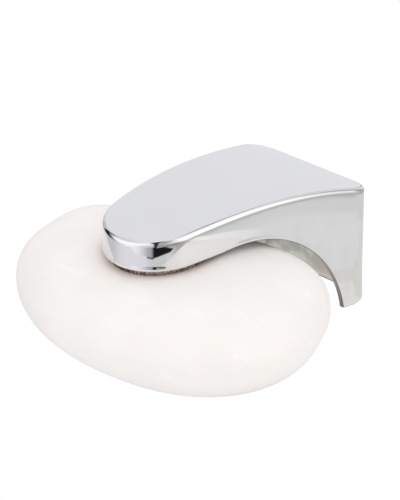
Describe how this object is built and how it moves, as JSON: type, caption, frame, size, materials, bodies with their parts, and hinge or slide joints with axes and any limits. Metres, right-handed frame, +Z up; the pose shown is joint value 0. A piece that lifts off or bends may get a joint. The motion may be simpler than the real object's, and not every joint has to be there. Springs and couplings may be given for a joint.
{
  "type": "magnetic soap holder",
  "caption": "Wall-mounted chromed arm with a magnet in its nose, holding a bar of soap by a toothed steel cap pressed into it.",
  "frame": {"origin": "centre of the foam pad's wall side, on the wall", "axes": "+Z up, +Y out of the arm's back into the wall, the arm points along -Y, +X to the right as seen from in front of the nose looking at the wall"},
  "size_m": [0.1113, 0.1037, 0.0486],
  "materials": {
    "chrome_plating": "bright chrome plating on cast zinc",
    "cover_plastic": "satin grey moulded plastic",
    "cup_steel": "zinc-plated steel",
    "magnet_nickel": "nickel-plated magnet",
    "screw_steel": "zinc-plated steel",
    "pad_foam": "white foam tape",
    "cap_steel": "bright pressed steel",
    "soap": "smooth creamy white soap"
  },
  "bodies": {
    "holder": {"arm_shell": "chrome_plating", "nose_cover": "cover_plastic", "magnet_cup": "cup_steel", "magnet_ring": "magnet_nickel", "magnet_screw": "screw_steel", "adhesive_pad": "pad_foam"},
    "cap": {"soap_cap": "cap_steel"},
    "soap": {"soap_bar": "soap"}
  },
  "joints": [
    {"name": "cap_pull_off", "type": "slide", "parent": "holder", "child": "cap", "axis": [0, 0.0906, -0.9959], "range_m": [0, 0.04]},
    {"name": "soap_pull_off", "type": "slide", "parent": "cap", "child": "soap", "axis": [0, 0.0906, -0.9959], "range_m": [0, 0.01]}
  ]
}
